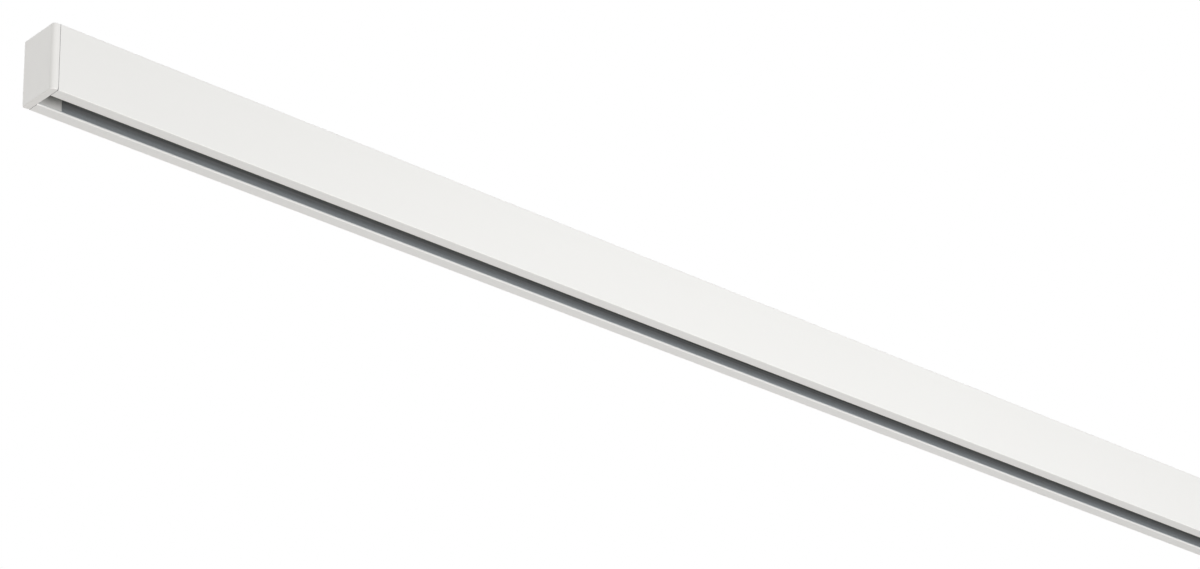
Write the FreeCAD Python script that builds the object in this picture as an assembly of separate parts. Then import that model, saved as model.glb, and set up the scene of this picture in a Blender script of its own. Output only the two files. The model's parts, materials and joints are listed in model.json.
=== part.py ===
# Ceiling-mounted curtain track: a tall white box-section rail with a runner slot along its
# underside, a moulded cap in each end, three lever-locked ceiling clips in its upper channel,
# and fourteen two-wheeled runners, each with a swivel eye for a curtain hook.
#
# Lengths are in millimetres. X runs along the rail, Y across it (the room side is -Y) and Z up.
# The origin is on the ceiling plane, at the screw hole of the middle clip.
import FreeCAD, Part
import os

V = FreeCAD.Vector
ALONG, ACROSS, UP = V(1, 0, 0), V(0, 1, 0), V(0, 0, 1)

# Rail section
rail_length = 1400.0
rail_width = 18.0
rail_height = 27.0
rail_wall = 1.2
rail_edge_radius = 0.4
inner_corner_radius = 0.3
slot_width = 8.0
lip_thickness = 1.0
lip_edge_radius = 0.25
runner_channel_height = 11.6
web_thickness = 1.2
hollow_height = 5.0
mouth_width = 9.6
mouth_lip_thickness = 1.2
bead_radius = 0.5
bead_height = 0.3
bead_from_slot = 1.9

# End caps
cap_plate = 3.0
cap_room_edge_radius = 2.0
cap_window_edge_radius = 0.4
cap_top_radius = 0.5
seam_chamfer = 0.25
plug_clearance = 0.1
plug_wall = 1.5
cheek_length = 12.0
cheek_floor_gap = 0.6
tongue_length = 10.0
upper_tongue_length = 8.0
upper_tongue_height = 2.4
crush_rib_width = 1.0
crush_rib_bite = 0.02

# Ceiling clips
clip_spacing = 600.0
clip_count = 3
clip_plate_thickness = 1.2
clip_plate_width = 9.2
clip_plate_corner = 2.0
clip_before_screw = 13.0
clip_after_pivot = 16.0
screw_to_pivot = 15.0
screw_hole_radius = 2.25
claw_length = 5.0
claw_reach = 2.6
claw_lip_gap = 0.05
pivot_offset = 0.8
lever_gap = 0.05
lever_arm_thickness = 1.1
lever_arm_width = 5.0
lever_arm_length = 18.0
lever_rail_gap = 0.15
lever_tab_width = 4.0
lever_tab_proud = 1.5
cam_radius = 3.2
cam_lip_overlap = 2.4
cam_lip_gap = 0.1
cam_thickness = 1.5
rivet_radius = 1.5
rivet_clearance = 0.05
rivet_head_radius = 2.6
rivet_head_height = 0.9
rivet_flush_radius = 2.4
rivet_flush_depth = 0.8
rivet_seat_clearance = 0.02

# Runners
runner_count = 14
carriage_length = 12.0
carriage_height = 9.4
carriage_floor_gap = 0.5
carriage_corner = 1.5
slot_clearance = 0.8
parking_gap = 0.4
wheel_radius = 4.5
wheel_width = 3.0
wheel_edge = 0.4
wheel_bead_gap = 0.05
wheel_wall_gap = 0.5
wheel_side_gap = 0.15
boss_radius = 2.5
stub_radius = 1.5
stub_clearance = 0.05
stub_head_radius = 1.8
stub_head_height = 0.6
stub_head_gap = 0.1
counterbore_radius = 2.1
counterbore_depth = 0.9
wheel_groove_radii = (2.7, 3.7)
wheel_groove_depth = 0.5
flange_radius = 4.8
flange_thickness = 1.0
flange_gap = 0.4
collar_height = 1.1

# Swivel eyes
eye_stem_radius = 1.1
eye_stem_clearance = 0.08
eye_head_radius = 1.8
eye_head_height = 1.6
eye_head_clearance = 0.3
eye_seat_gap = 0.05
eye_seat_depth = 5.2
eye_split = 0.6
eye_collar_radius = 2.6
eye_collar_height = 0.9
eye_collar_gap = 0.15
eye_wire_radius = 1.0
eye_inner_width = 6.4
eye_straight = 1.4
eye_collar_bite = 0.25

# Heights of the rail, counted down from the ceiling plane
lever_level_top = -(clip_plate_thickness + lever_gap)
lever_level_bottom = lever_level_top - lever_arm_thickness
rail_top = lever_level_bottom - lever_rail_gap
rail_bottom = rail_top - rail_height
mouth_lip_bottom = rail_top - mouth_lip_thickness
lip_top = rail_bottom + lip_thickness
channel_top = lip_top + runner_channel_height
hollow_bottom = channel_top + web_thickness
hollow_top = hollow_bottom + hollow_height
upper_floor = hollow_top + web_thickness

# Widths and lengths that several pieces share
half_rail = rail_length / 2
half_width = rail_width / 2
half_inside = half_width - rail_wall
half_slot = slot_width / 2
half_mouth = mouth_width / 2

# Runner places: they are parked against the right-hand cap, and the lead one is the leftmost
runner_pitch = carriage_length + parking_gap
cheek_end = half_rail - cheek_length
last_runner_x = cheek_end - parking_gap - carriage_length / 2
lead_runner_x = last_runner_x - (runner_count - 1) * runner_pitch
lead_travel = lead_runner_x + last_runner_x
wheel_axis_z = lip_top + bead_height + wheel_bead_gap + wheel_radius
carriage_bottom = lip_top + carriage_floor_gap
carriage_top = carriage_bottom + carriage_height
carriage_half_width = half_slot - slot_clearance
wheel_outer = half_inside - wheel_wall_gap
wheel_inner = wheel_outer - wheel_width
flange_top = rail_bottom - flange_gap
collar_bottom = flange_top - flange_thickness - collar_height
eye_seat_z = carriage_top - eye_seat_depth
eye_axis_radius = eye_inner_width / 2 + eye_wire_radius
eye_collar_top = collar_bottom - eye_collar_gap
eye_upper_centre_z = eye_collar_top - eye_collar_height + eye_collar_bite - eye_wire_radius - eye_axis_radius
eye_lower_centre_z = eye_upper_centre_z - eye_straight


def in_section(u, v):
    """A point of an outline drawn across the rail: u is Y and v is Z."""
    return V(0, u, v)


def in_plan(u, v):
    """A point of an outline seen from above: u is X and v is Y."""
    return V(u, v, 0)


def in_elevation(u, v):
    """A point of an outline seen from the room: u is X and v is Z."""
    return V(u, 0, v)


def outline(corners, place):
    """A closed wire through right-angled corners (u, v, size). A size above 0 rounds the corner
    by that radius, and one below 0 cuts it off at 45 degrees."""
    points = [V(u, v, 0) for u, v, _ in corners]
    edges, previous_end = [], None
    joints = []
    for i, (_, _, size) in enumerate(corners):
        here, before, after = points[i], points[i - 1], points[(i + 1) % len(points)]
        back, on = (before - here).normalize(), (after - here).normalize()
        reach = abs(size)
        start, end = here + back * reach, here + on * reach
        middle = here + (back + on) * (reach * (1 - 0.5 ** 0.5))
        joints.append((start, middle, end, size))
    for start, middle, end, size in joints:
        if previous_end is not None:
            edges.append((previous_end, None, start))
        if size > 0:
            edges.append((start, middle, end))
        elif size < 0:
            edges.append((start, None, end))
        previous_end = end
    edges.append((previous_end, None, joints[0][0]))
    made = []
    for start, middle, end in edges:
        a, b = place(start.x, start.y), place(end.x, end.y)
        if middle is None:
            made.append(Part.LineSegment(a, b).toShape())
        else:
            made.append(Part.Arc(a, place(middle.x, middle.y), b).toShape())
    return Part.Wire(made)


def prism(corners, place, start, length):
    """The outline pushed along the third direction, from start over length."""
    direction = {in_section: ALONG, in_plan: UP, in_elevation: ACROSS}[place]
    face = Part.Face(outline(corners, place))
    face.translate(direction * start)
    return face.extrude(direction * length)


def rectangle(u0, u1, v0, v1, size=0.0):
    """The four corners of a rectangle, all rounded or cut alike."""
    return [(u0, v0, size), (u1, v0, size), (u1, v1, size), (u0, v1, size)]


def block(x0, x1, y0, y1, z0, z1):
    return Part.makeBox(x1 - x0, y1 - y0, z1 - z0, V(x0, y0, z0))


def rod(radius, start, end):
    """A solid cylinder from one point to another."""
    run = end - start
    return Part.makeCylinder(radius, run.Length, start, run)


def cone(radius_start, radius_end, start, end):
    run = end - start
    return Part.makeCone(radius_start, radius_end, run.Length, start, run)


def joined(first, *others):
    return first.fuse(list(others)).removeSplitter()


def mirrored_x(shape):
    return shape.mirror(V(0, 0, 0), ALONG)


def export(name, *solids):
    """Writes the sub-part: one solid, or several alike that share the node."""
    shape = solids[0] if len(solids) == 1 else Part.makeCompound(list(solids))
    shape.exportStep(os.path.join("parts", name + ".step"))


def track_profile():
    """The extrusion: runner channel below, closed hollow in the middle, clip channel on top."""
    corner, inner, lip = rail_edge_radius, inner_corner_radius, lip_edge_radius
    right = [
        (half_slot, rail_bottom, lip),
        (half_width, rail_bottom, corner),
        (half_width, rail_top, corner),
        (half_mouth, rail_top, lip),
        (half_mouth, mouth_lip_bottom, lip),
        (half_inside, mouth_lip_bottom, inner),
        (half_inside, upper_floor, inner),
    ]
    right_channel = [
        (half_inside, channel_top, inner),
        (half_inside, lip_top, inner),
        (half_slot, lip_top, lip),
    ]
    left = [(-u, v, size) for u, v, size in reversed(right)]
    left_channel = [(-u, v, size) for u, v, size in reversed(right_channel)]
    body = prism(right + left + left_channel + right_channel, in_section, -half_rail, rail_length)
    hollow = rectangle(-half_inside, half_inside, hollow_bottom, hollow_top, inner)
    body = body.cut(prism(hollow, in_section, -half_rail, rail_length))
    bead_y = half_slot + bead_from_slot
    bead_z = lip_top + bead_height - bead_radius
    beads = [
        rod(bead_radius, V(-half_rail, side * bead_y, bead_z), V(half_rail, side * bead_y, bead_z))
        for side in (-1, 1)
    ]
    return joined(body, *beads)


def cap_face_plate():
    """The plate of the left-hand cap: its upright edge on the room side is rounded, the one on the
    window side is crisp, and a fine chamfer runs round where it meets the rail."""
    outer, inner = -half_rail - cap_plate, -half_rail
    plan = [
        (outer, -half_width, cap_room_edge_radius),
        (inner, -half_width, -seam_chamfer),
        (inner, half_width, -seam_chamfer),
        (outer, half_width, cap_window_edge_radius),
    ]
    elevation = [
        (outer, rail_bottom, cap_top_radius),
        (inner, rail_bottom, -seam_chamfer),
        (inner, rail_top, -seam_chamfer),
        (outer, rail_top, cap_top_radius),
    ]
    section = rectangle(-half_width, half_width, rail_bottom, rail_top, rail_edge_radius)
    plate = prism(plan, in_plan, rail_bottom, rail_height)
    plate = plate.common(prism(elevation, in_elevation, -half_width, rail_width))
    return plate.common(prism(section, in_section, outer, cap_plate))


def plug_cheeks():
    """An inverted U in the runner channel. Its two cheeks also stop the runners."""
    side = half_inside - plug_clearance
    top = channel_top - plug_clearance
    shell = block(-half_rail, -cheek_end, -side, side, lip_top + cheek_floor_gap, top)
    gap = side - plug_wall
    return shell.cut(block(-half_rail, -cheek_end, -gap, gap, lip_top, top - plug_wall))


def plug_tongue():
    """A hollow tongue in the rail's closed middle, with crush ribs above and below."""
    side = half_inside - plug_clearance
    low, high = hollow_bottom + plug_clearance, hollow_top - plug_clearance
    end = -half_rail + tongue_length
    tongue = block(-half_rail, end, -side, side, low, high)
    bore = block(-half_rail, end, plug_wall - side, side - plug_wall, low + plug_wall, high - plug_wall)
    rib_low, rib_high = hollow_bottom + crush_rib_bite, hollow_top - crush_rib_bite
    parts = [tongue.cut(bore)]
    for y in (-side / 2, side / 2):
        half_rib = crush_rib_width / 2
        rib = block(-half_rail, end, y - half_rib, y + half_rib, rib_low, rib_high)
        parts.append(rib.cut(block(-half_rail, end, -side, side, low, high)))
    return joined(*parts)


def plug_upper_tongue():
    side = half_inside - plug_clearance
    low = upper_floor + plug_clearance
    end = -half_rail + upper_tongue_length
    return block(-half_rail, end, -side, side, low, low + upper_tongue_height)


def end_cap_left():
    return joined(cap_face_plate(), plug_cheeks(), plug_tongue(), plug_upper_tongue())


def clip_plate(screw_x):
    """A stamped plate under the ceiling, with two claws that hook under the room-side lip."""
    pivot = V(screw_x + screw_to_pivot, pivot_offset, 0)
    start, end = screw_x - clip_before_screw, pivot.x + clip_after_pivot
    half = clip_plate_width / 2
    plate = prism(
        rectangle(start, end, -half, half, clip_plate_corner), in_plan, -clip_plate_thickness,
        clip_plate_thickness,
    )
    claw_top = mouth_lip_bottom - claw_lip_gap
    foot_tip = -half_mouth - claw_reach
    claws = []
    for x in (start + clip_plate_corner, end - clip_plate_corner - claw_length):
        leg = block(x, x + claw_length, -half, clip_plate_thickness - half,
                    claw_top - clip_plate_thickness, -clip_plate_thickness)
        foot = block(x, x + claw_length, foot_tip, clip_plate_thickness - half,
                     claw_top - clip_plate_thickness, claw_top)
        claws += [leg, foot]
    plate = joined(plate, *claws)
    below = V(0, 0, -clip_plate_thickness)
    plate = plate.cut(rod(screw_hole_radius, V(screw_x, 0, 0) + below, V(screw_x, 0, 0)))
    seat = rivet_seat_clearance
    plate = plate.cut(rod(rivet_radius + seat, pivot + below, pivot))
    sink = cone(rivet_radius + seat, rivet_flush_radius + seat, pivot - UP * rivet_flush_depth, pivot)
    return plate.cut(sink)


def clip_lever(screw_x):
    """The lock lever: an arm above the rail and a cam below its lip, joined by a round hub."""
    pivot = V(screw_x + screw_to_pivot, pivot_offset, 0)
    cam_top = mouth_lip_bottom - cam_lip_gap
    cam_bottom = cam_top - cam_thickness
    cam_tip = half_mouth + cam_lip_overlap
    hub = rod(cam_radius, V(pivot.x, pivot.y, cam_bottom), V(pivot.x, pivot.y, lever_level_top))
    nose_end = V(pivot.x, cam_tip - cam_radius, cam_bottom)
    nose = rod(cam_radius, nose_end, nose_end + UP * cam_thickness)
    neck = block(pivot.x - cam_radius, pivot.x + cam_radius, pivot.y, nose_end.y, cam_bottom, cam_top)
    half_arm = lever_arm_width / 2
    tip = pivot.x + lever_arm_length
    arm_top = lever_level_top - lever_level_bottom
    arm = prism(
        [
            (pivot.x, pivot.y - half_arm, 0.0),
            (tip, pivot.y - half_arm, half_arm / 2),
            (tip, half_width + lever_tab_proud, half_arm / 2),
            (tip - lever_tab_width, half_width + lever_tab_proud, half_arm / 2),
            (tip - lever_tab_width, pivot.y + half_arm, half_arm / 2),
            (pivot.x, pivot.y + half_arm, 0.0),
        ],
        in_plan, lever_level_bottom, arm_top,
    )
    lever = joined(hub, nose, neck, arm)
    bore_radius = rivet_radius + rivet_clearance
    return lever.cut(rod(bore_radius, V(pivot.x, pivot.y, cam_bottom), pivot))


def clip_rivet(screw_x):
    """The lever's rivet: flush in the plate's countersink and headed under the cam."""
    pivot = V(screw_x + screw_to_pivot, pivot_offset, 0)
    under_cam = mouth_lip_bottom - cam_lip_gap - cam_thickness - lever_gap
    head_top = V(pivot.x, pivot.y, under_cam)
    shank = rod(rivet_radius, head_top, pivot)
    flush = cone(rivet_radius, rivet_flush_radius, pivot - UP * rivet_flush_depth, pivot)
    head = rod(rivet_head_radius, head_top - UP * rivet_head_height, head_top)
    return joined(shank, flush, head)


def carriage(x):
    """The runner's moulding: a block in the channel, a neck through the slot, and stub axles."""
    half_length = carriage_length / 2
    body = prism(
        rectangle(x - half_length, x + half_length, -carriage_half_width, carriage_half_width,
                  carriage_corner),
        in_plan, carriage_bottom, carriage_height,
    )
    neck = rod(carriage_half_width, V(x, 0, collar_bottom), V(x, 0, carriage_top))
    flange = rod(flange_radius, V(x, 0, flange_top - flange_thickness), V(x, 0, flange_top))
    parts = [neck, flange]
    for side in (-1, 1):
        root = V(x, side * carriage_half_width / 2, wheel_axis_z)
        boss_end = V(x, side * (wheel_inner - wheel_side_gap), wheel_axis_z)
        head_start = side * (wheel_outer - counterbore_depth + stub_head_gap)
        head_end = head_start + side * stub_head_height
        parts.append(rod(boss_radius, root, boss_end))
        parts.append(rod(stub_radius, root, V(x, head_start, wheel_axis_z)))
        parts.append(cone(stub_head_radius, stub_radius, V(x, head_start, wheel_axis_z),
                          V(x, head_end, wheel_axis_z)))
    whole = joined(body, *parts)
    stem_hole = rod(eye_stem_radius + eye_stem_clearance, V(x, 0, collar_bottom), V(x, 0, carriage_top))
    pocket = rod(eye_head_radius + eye_head_clearance, V(x, 0, eye_seat_z), V(x, 0, carriage_top))
    return whole.cut(stem_hole).cut(pocket)


def wheel(x, side):
    """One wheel, on the room side or the window side, with its rim edges broken."""
    inner, outer = side * wheel_inner, side * wheel_outer
    step = side * wheel_edge
    flat = wheel_radius - wheel_edge
    centre = [V(x, y, wheel_axis_z) for y in (inner, inner + step, outer - step, outer)]
    disc = joined(
        cone(flat, wheel_radius, centre[0], centre[1]),
        rod(wheel_radius, centre[1], centre[2]),
        cone(wheel_radius, flat, centre[2], centre[3]),
    )
    disc = disc.cut(rod(stub_radius + stub_clearance, centre[0], centre[3]))
    recess = V(x, outer - side * counterbore_depth, wheel_axis_z)
    disc = disc.cut(rod(counterbore_radius, recess, centre[3]))
    groove_start = V(x, outer - side * wheel_groove_depth, wheel_axis_z)
    groove = rod(wheel_groove_radii[1], groove_start, centre[3])
    return disc.cut(groove.cut(rod(wheel_groove_radii[0], groove_start, centre[3])))


def swivel_eye(x):
    """A ring of round wire under a thrust collar, on a stem with a split snap head."""
    ring_parts = []
    for centre_z, turn in ((eye_upper_centre_z, UP), (eye_lower_centre_z, UP * -1)):
        arch = Part.makeTorus(eye_axis_radius, eye_wire_radius, V(x, 0, centre_z), ACROSS)
        low = centre_z if turn.z > 0 else centre_z - eye_axis_radius - eye_wire_radius
        reach = eye_axis_radius + eye_wire_radius
        ring_parts.append(arch.common(block(x - reach, x + reach, -eye_wire_radius, eye_wire_radius,
                                            low, low + reach)))
    for side in (-1, 1):
        leg_x = x + side * eye_axis_radius
        ring_parts.append(rod(eye_wire_radius, V(leg_x, 0, eye_lower_centre_z),
                              V(leg_x, 0, eye_upper_centre_z)))
    head_bottom = eye_seat_z + eye_seat_gap
    collar = rod(eye_collar_radius, V(x, 0, eye_collar_top - eye_collar_height), V(x, 0, eye_collar_top))
    stem = rod(eye_stem_radius, V(x, 0, eye_collar_top), V(x, 0, head_bottom))
    head = cone(eye_head_radius, eye_stem_radius, V(x, 0, head_bottom),
                V(x, 0, head_bottom + eye_head_height))
    eye = joined(collar, stem, head, *ring_parts)
    half_split = eye_split / 2
    split = block(x - half_split, x + half_split, -eye_head_radius, eye_head_radius,
                  head_bottom - eye_head_height, head_bottom + eye_head_height)
    return eye.cut(split)


def clip_screw_places():
    """The X of each clip's screw hole, spread evenly about the origin."""
    return [(i - (clip_count - 1) / 2) * clip_spacing for i in range(clip_count)]


def runner_places():
    """The X of each parked runner, from the lead one to the last."""
    return [lead_runner_x + i * runner_pitch for i in range(runner_count)]


def main():
    os.makedirs("parts", exist_ok=True)
    export("track_profile", track_profile())
    left = end_cap_left()
    export("end_cap_left", left)
    export("end_cap_right", mirrored_x(left))
    for number, screw_x in enumerate(clip_screw_places(), 1):
        export(f"clip_{number}_plate", clip_plate(screw_x))
        export(f"clip_{number}_lever", clip_lever(screw_x))
        export(f"clip_{number}_rivet", clip_rivet(screw_x))
    for number, x in enumerate(runner_places(), 1):
        name = f"runner_{number:02d}"
        export(name + "_carriage", carriage(x))
        export(name + "_wheels", wheel(x, -1), wheel(x, 1))
        export(name + "_eye", swivel_eye(x))


main()
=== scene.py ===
"""The looks of a ceiling curtain track: a white box-section rail with a runner slot, its end
caps, lever-locked ceiling clips and wheeled runners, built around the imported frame."""

import json
from functools import reduce

import bpy
import numpy as np
from bpy.props import FloatProperty, FloatVectorProperty, IntProperty, PointerProperty
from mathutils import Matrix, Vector
from mathutils.geometry import tessellate_polygon


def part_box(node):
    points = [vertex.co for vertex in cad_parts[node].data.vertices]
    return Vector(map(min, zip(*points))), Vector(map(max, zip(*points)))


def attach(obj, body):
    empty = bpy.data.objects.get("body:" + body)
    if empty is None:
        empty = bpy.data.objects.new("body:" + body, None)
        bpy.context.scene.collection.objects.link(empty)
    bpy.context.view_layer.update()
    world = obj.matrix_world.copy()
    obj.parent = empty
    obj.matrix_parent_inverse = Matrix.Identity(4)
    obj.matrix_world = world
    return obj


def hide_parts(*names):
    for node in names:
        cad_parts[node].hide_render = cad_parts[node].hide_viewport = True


bl_info = {
    "name": "Curtain track looks",
    "version": (1, 0, 0),
    "blender": (4, 5, 0),
    "location": "3D View > Sidebar > Track",
    "description": "Builds the visible pieces of a ceiling curtain track around its frame",
    "category": "Object",
}

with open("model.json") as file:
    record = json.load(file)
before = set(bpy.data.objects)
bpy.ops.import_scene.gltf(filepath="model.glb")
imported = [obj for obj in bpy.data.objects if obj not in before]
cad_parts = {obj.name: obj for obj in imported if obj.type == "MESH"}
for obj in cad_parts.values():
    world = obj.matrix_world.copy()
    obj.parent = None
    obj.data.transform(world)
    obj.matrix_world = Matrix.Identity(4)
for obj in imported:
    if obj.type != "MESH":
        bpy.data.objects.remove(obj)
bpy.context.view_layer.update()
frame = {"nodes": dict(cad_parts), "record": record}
JOINTS = {joint["name"]: joint for joint in frame["record"]["behaviour"]["joints"]}
RUNNERS = sorted(name[: -len("_eye")] for name in frame["nodes"] if name.endswith("_eye"))
CLIPS = sorted(name[: -len("_plate")] for name in frame["nodes"] if name.endswith("_plate"))
RAIL_LOW, RAIL_HIGH = (np.array(corner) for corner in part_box("track_profile"))
HALF_TURN = np.pi
QUARTER_TURN = np.pi / 2
MM_PER_M = 1000
# The rounding of an outline's corner on a turned solid's axis, and the finest fit or rounding
TINY = 1e-6
FIT = 1e-5


# Outlines and surfaces


class Place:
    """Where a drawing lies in the frame: an origin and the directions of u, v and height."""

    def __init__(self, u, v, height, origin=(0, 0, 0)):
        self.axes = np.array([u, v, height], dtype=float)
        self.origin = np.array(origin, dtype=float)

    def at(self, *origin):
        return Place(*self.axes, origin=origin)

    def points(self, local):
        return local @ self.axes + self.origin

    def directions(self, local):
        return local @ self.axes


ACROSS_RAIL = Place((0, 1, 0), (0, 0, 1), (1, 0, 0))
FROM_ABOVE = Place((1, 0, 0), (0, 1, 0), (0, 0, 1))
ALONG_AXLE = Place((0, 0, 1), (1, 0, 0), (0, 1, 0))


def rounded(corners, steps=5):
    """A closed outline, counter-clockwise, through corners (u, v, radius). Each corner becomes
    an arc that touches both of its sides: a centre plus or minus the radius times a normal,
    which turns evenly from the first side's to the second's. Gives points and normals."""
    data = np.array(corners, dtype=float)
    here, radius = data[:, :2], data[:, 2:3]
    into = here - np.roll(here, 1, axis=0)
    into /= np.linalg.norm(into, axis=1, keepdims=True)
    out = np.roll(into, -1, axis=0)
    turn = np.arctan2(into[:, 0] * out[:, 1] - into[:, 1] * out[:, 0], (into * out).sum(axis=1))
    side = np.sign(turn)[:, None] * radius
    normal = np.column_stack([into[:, 1], -into[:, 0]])
    centre = here - into * radius * np.tan(np.abs(turn) / 2)[:, None] - side * normal
    angle = turn[:, None] * np.linspace(0, 1, steps + 1)
    cos, sin = np.cos(angle), np.sin(angle)
    normals = np.stack(
        [normal[:, :1] * cos - normal[:, 1:] * sin, normal[:, :1] * sin + normal[:, 1:] * cos],
        axis=2,
    )
    points = centre[:, None] + side[:, None] * normals
    return points.reshape(-1, 2), normals.reshape(-1, 2)


def rectangle(u0, u1, v0, v1, radius, steps=5):
    """A rounded outline between two corners."""
    corners = [(u0, v0, radius), (u1, v0, radius), (u1, v1, radius), (u0, v1, radius)]
    return rounded(corners, steps)


def circle(radius, centre=(0.0, 0.0), steps=32):
    """The centre plus the radius times (cosine, sine) of an angle that goes round once."""
    angle = np.linspace(0, 2 * HALF_TURN, steps, endpoint=False)
    normals = np.column_stack([np.cos(angle), np.sin(angle)])
    return normals * radius + centre, normals


def cut_disc(radius, cut, steps=16):
    """A disc without what lies below u = cut. Its arc is the radius times (cosine, sine) of an
    angle that runs between the cut's two ends, and the cut's normals face back along u."""
    end = np.arccos(cut / radius)
    angle = np.linspace(-end, end, steps + 1)
    normals = np.column_stack([np.cos(angle), np.sin(angle)])
    points = normals * radius
    return np.vstack([points, points[[-1, 0]]]), np.vstack([normals, [[-1.0, 0.0]] * 2])


def hole(outline):
    """The same outline as the wall of a hole: run backwards, its normals facing into the hole."""
    points, normals = outline
    return points[::-1], -normals[::-1]


def edged(start, end, start_edge, end_edge, steps=3):
    """Stations (height, inset, tilt) of a solid whose two end edges are rounded: on each, the
    height is a centre plus the edge radius times the tilt's sine, and the inset is the radius
    less the radius times its cosine. The tilt runs from facing down, through level, to up."""

    def arc(centre, radius, tilt):
        height = centre + radius * np.sin(tilt)
        return np.column_stack([height, radius - radius * np.cos(tilt), tilt])

    tilt = np.linspace(-QUARTER_TURN, 0, steps + 1)
    first = arc(start + start_edge, start_edge, tilt)
    return np.vstack([first, arc(end - end_edge, end_edge, tilt + QUARTER_TURN)])


def in_scene(name, data):
    """A new object in the scene."""
    obj = bpy.data.objects.new(name, data)
    bpy.context.scene.collection.objects.link(obj)
    return obj


class Shell:
    """Closed surfaces gathered for one mesh: points, faces, and a normal for each face corner."""

    def __init__(self):
        self.points, self.faces, self.normals = [], [], []
        self.count = 0

    def grid(self, points, normals, wrap_columns=True):
        """Quads between neighbours of a grid that closes on itself along its rows, and along its
        columns where it is told to. Gives the numbers of the points, as a grid."""
        rows, columns = points.shape[:2]
        number = np.arange(rows * columns).reshape(rows, columns) + self.count
        row, column = np.meshgrid(
            np.arange(rows), np.arange(columns if wrap_columns else columns - 1), indexing="ij"
        )
        after, beside = (row + 1) % rows, (column + 1) % columns
        round_quad = ((row, column), (after, column), (after, beside), (row, beside))
        quads = np.stack([number[corner] for corner in round_quad], axis=-1).reshape(-1, 4)
        self.points.append(points.reshape(-1, 3))
        self.faces.append(quads)
        self.normals.append(normals.reshape(-1, 3)[quads - self.count])
        self.count += rows * columns
        return number

    def lids(self, flats, numbers, axis):
        """Flat lids on the first and last column of surfaces along an axis, the first the outer
        one and the others holes. A lid's triangles are turned so that they all run
        counter-clockwise on the last column, and clockwise on the first."""
        for column, up in ((0, False), (-1, True)):
            loops = [flat[:, column] for flat in flats]
            corners = [
                [Vector((u * MM_PER_M, v * MM_PER_M, 0)) for u, v in loop] for loop in loops
            ]
            triangles = np.array(tessellate_polygon(corners))
            first, second, third = (np.vstack(loops)[triangles[:, k]] for k in range(3))
            base, side = second - first, third - first
            area = base[:, 0] * side[:, 1] - base[:, 1] * side[:, 0]
            wrong = (area < 0) == up
            triangles[wrong] = triangles[wrong][:, ::-1]
            rim = np.concatenate([number[:, column] for number in numbers])
            self.faces.append(rim[triangles])
            self.normals.append(np.broadcast_to(axis if up else -axis, (len(triangles), 3, 3)))
        return self

    def extruded(self, outlines, stations, place):
        """A solid whose section is the outlines, the first the outer one and the others holes. At
        each station the section is moved back along its normals by the inset, at that height,
        and the normal leans by the tilt. Flat lids close both ends."""
        height, inset, tilt = np.asarray(stations).T
        flats, numbers = [], []
        for points, outward in outlines:
            flat = points[:, None] - inset[None, :, None] * outward[:, None]
            level = np.broadcast_to(height[None, :, None], flat.shape[:2] + (1,))
            lean = np.broadcast_to(np.sin(tilt)[None, :, None], level.shape)
            sideways = outward[:, None] * np.cos(tilt)[None, :, None]
            normals = place.directions(np.concatenate([sideways, lean], axis=2))
            solid = place.points(np.concatenate([flat, level], axis=2))
            flats.append(flat)
            numbers.append(self.grid(solid, normals, wrap_columns=False))
        return self.lids(flats, numbers, place.axes[2])

    def turned(self, corners, place, ring=False, steps=32, arc_steps=3):
        """A turned solid. Its outline runs through corners (radius, height, rounding), and each
        point goes round the axis: radius times (cosine, sine) of an angle, at its height. A
        ring's outline is closed. Any other runs up, and a flat lid closes each end."""
        if not ring:
            corners = [(0, corners[0][1], TINY), *corners, (0, corners[-1][1], TINY)]
        points, normals = rounded(corners, arc_steps)
        if not ring:
            kept = slice(arc_steps + 1, -arc_steps - 1)
            points, normals = points[kept], normals[kept]
        around = circle(1.0, steps=steps)[0]

        def spun(pairs):
            level = np.broadcast_to(pairs[None, :, 1:], (steps, len(pairs), 1))
            return np.concatenate([around[:, None] * pairs[None, :, :1], level], axis=2)

        solid = spun(points)
        number = self.grid(place.points(solid), place.directions(spun(normals)), ring)
        return self if ring else self.lids([solid[..., :2]], [number], place.axes[2])

    def wire(self, outline, radius, place, steps=16):
        """A round wire along a closed outline: each point of the outline plus the radius times
        (cosine of an angle along the outline's normal, sine along the height)."""
        path, outward = outline
        cos, sin = circle(1.0, steps=steps)[0].T[:, None, :, None]
        level = np.broadcast_to(sin, (len(path), steps, 1))
        normals = np.concatenate([outward[:, None] * cos, level], axis=2)
        middle = np.column_stack([path, np.zeros(len(path))])[:, None]
        self.grid(place.points(middle + radius * normals), place.directions(normals))
        return self

    def add(self, other, shift=(0, 0, 0), mirror=(1, 1, 1)):
        """Another shell's surfaces, mirrored and then shifted. An odd number of mirrors turns
        each face's order round, so that it still faces outwards."""
        flip = np.prod(mirror) < 0
        order = slice(None, None, -1) if flip else slice(None)
        self.points += [part * mirror + shift for part in other.points]
        self.faces += [part[:, order] + self.count for part in other.faces]
        self.normals += [part[:, order] * mirror for part in other.normals]
        self.count += other.count
        return self

    def piece(self, name, finish, body, nodes):
        """The shell as an object that stands for CAD nodes and moves with a body."""
        mesh = bpy.data.meshes.new(name)
        faces = [face for part in self.faces for face in part.tolist()]
        mesh.from_pydata(np.vstack(self.points).tolist(), [], faces)
        mesh.shade_smooth()
        corners = np.concatenate([part.reshape(-1, 3) for part in self.normals])
        mesh.normals_split_custom_set(corners.tolist())
        mesh.materials.append(finish.material)
        obj = in_scene(name, mesh)
        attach(obj, body)
        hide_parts(*nodes)


# Materials


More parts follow.
